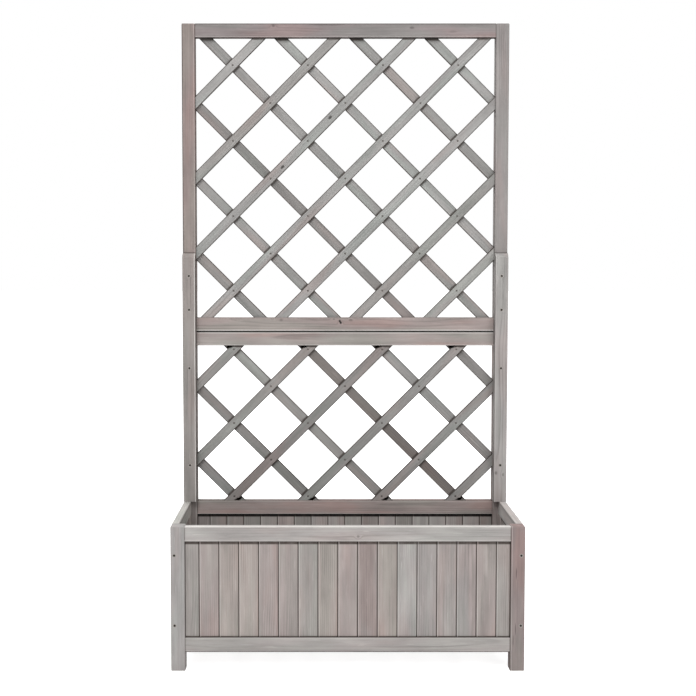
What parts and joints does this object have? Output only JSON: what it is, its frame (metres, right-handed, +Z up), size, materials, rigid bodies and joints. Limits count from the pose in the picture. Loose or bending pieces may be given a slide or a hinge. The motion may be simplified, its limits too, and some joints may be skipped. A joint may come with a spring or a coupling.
{
  "type": "planter box with trellis",
  "caption": "Grey-washed softwood planter box on short legs, boarded with tongue-and-groove, with a tall two-part diagonal lattice trellis rising behind it.",
  "frame": {"origin": "on the ground, at the middle of the planter's width and depth", "axes": "+X to the right seen from the front, +Y from the front towards the trellis, +Z up"},
  "size_m": [0.75, 0.3, 1.412],
  "materials": {
    "frame_wood": "matte grey wash over sawn softwood",
    "board_wood": "matte grey wash over planed tongue-and-groove boards",
    "lattice_wood": "matte grey wash over thin softwood slats",
    "floor_wood": "matte, plain sawn softwood",
    "steel": "dull zinc plating"
  },
  "bodies": {
    "root": {"floor_cleat_front": "floor_wood", "floor_cleat_rear": "floor_wood", "floor_slats": "floor_wood", "front_boards": "board_wood", "front_bottom_rail": "frame_wood", "front_leg_left": "frame_wood", "front_leg_right": "frame_wood", "front_top_rail": "frame_wood", "lattice_nails": "steel", "leg_screws": "steel", "lower_slat_falling_left_1": "lattice_wood", "lower_slat_falling_left_2": "lattice_wood", "lower_slat_falling_left_3": "lattice_wood", "lower_slat_falling_right_1": "lattice_wood", "lower_slat_falling_right_2": "lattice_wood", "lower_slat_falling_right_3": "lattice_wood", "lower_slat_rising_left_1": "lattice_wood", "lower_slat_rising_left_2": "lattice_wood", "lower_slat_rising_left_3": "lattice_wood", "lower_slat_rising_right_1": "lattice_wood", "lower_slat_rising_right_2": "lattice_wood", "lower_slat_rising_right_3": "lattice_wood", "lower_trellis_top_rail": "frame_wood", "plank_screws": "steel", "rear_boards": "board_wood", "rear_bottom_rail": "frame_wood", "rear_leg_left": "frame_wood", "rear_leg_right": "frame_wood", "rear_planter_rail": "frame_wood", "side_boards_left": "board_wood", "side_boards_right": "board_wood", "side_bottom_rail_left": "frame_wood", "side_bottom_rail_right": "frame_wood", "side_front_stile_left": "frame_wood", "side_front_stile_right": "frame_wood", "side_rear_stile_left": "frame_wood", "side_rear_stile_right": "frame_wood", "side_top_rail_left": "frame_wood", "side_top_rail_right": "frame_wood", "splice_plank_left": "frame_wood", "splice_plank_right": "frame_wood", "upper_slat_falling_centre": "lattice_wood", "upper_slat_falling_left_1": "lattice_wood", "upper_slat_falling_left_2": "lattice_wood", "upper_slat_falling_left_3": "lattice_wood", "upper_slat_falling_right_1": "lattice_wood", "upper_slat_falling_right_2": "lattice_wood", "upper_slat_falling_right_3": "lattice_wood", "upper_slat_rising_centre": "lattice_wood", "upper_slat_rising_left_1": "lattice_wood", "upper_slat_rising_left_2": "lattice_wood", "upper_slat_rising_left_3": "lattice_wood", "upper_slat_rising_right_1": "lattice_wood", "upper_slat_rising_right_2": "lattice_wood", "upper_slat_rising_right_3": "lattice_wood", "upper_trellis_bottom_rail": "frame_wood", "upper_trellis_stile_left": "frame_wood", "upper_trellis_stile_right": "frame_wood", "upper_trellis_top_rail": "frame_wood"}
  },
  "joints": []
}
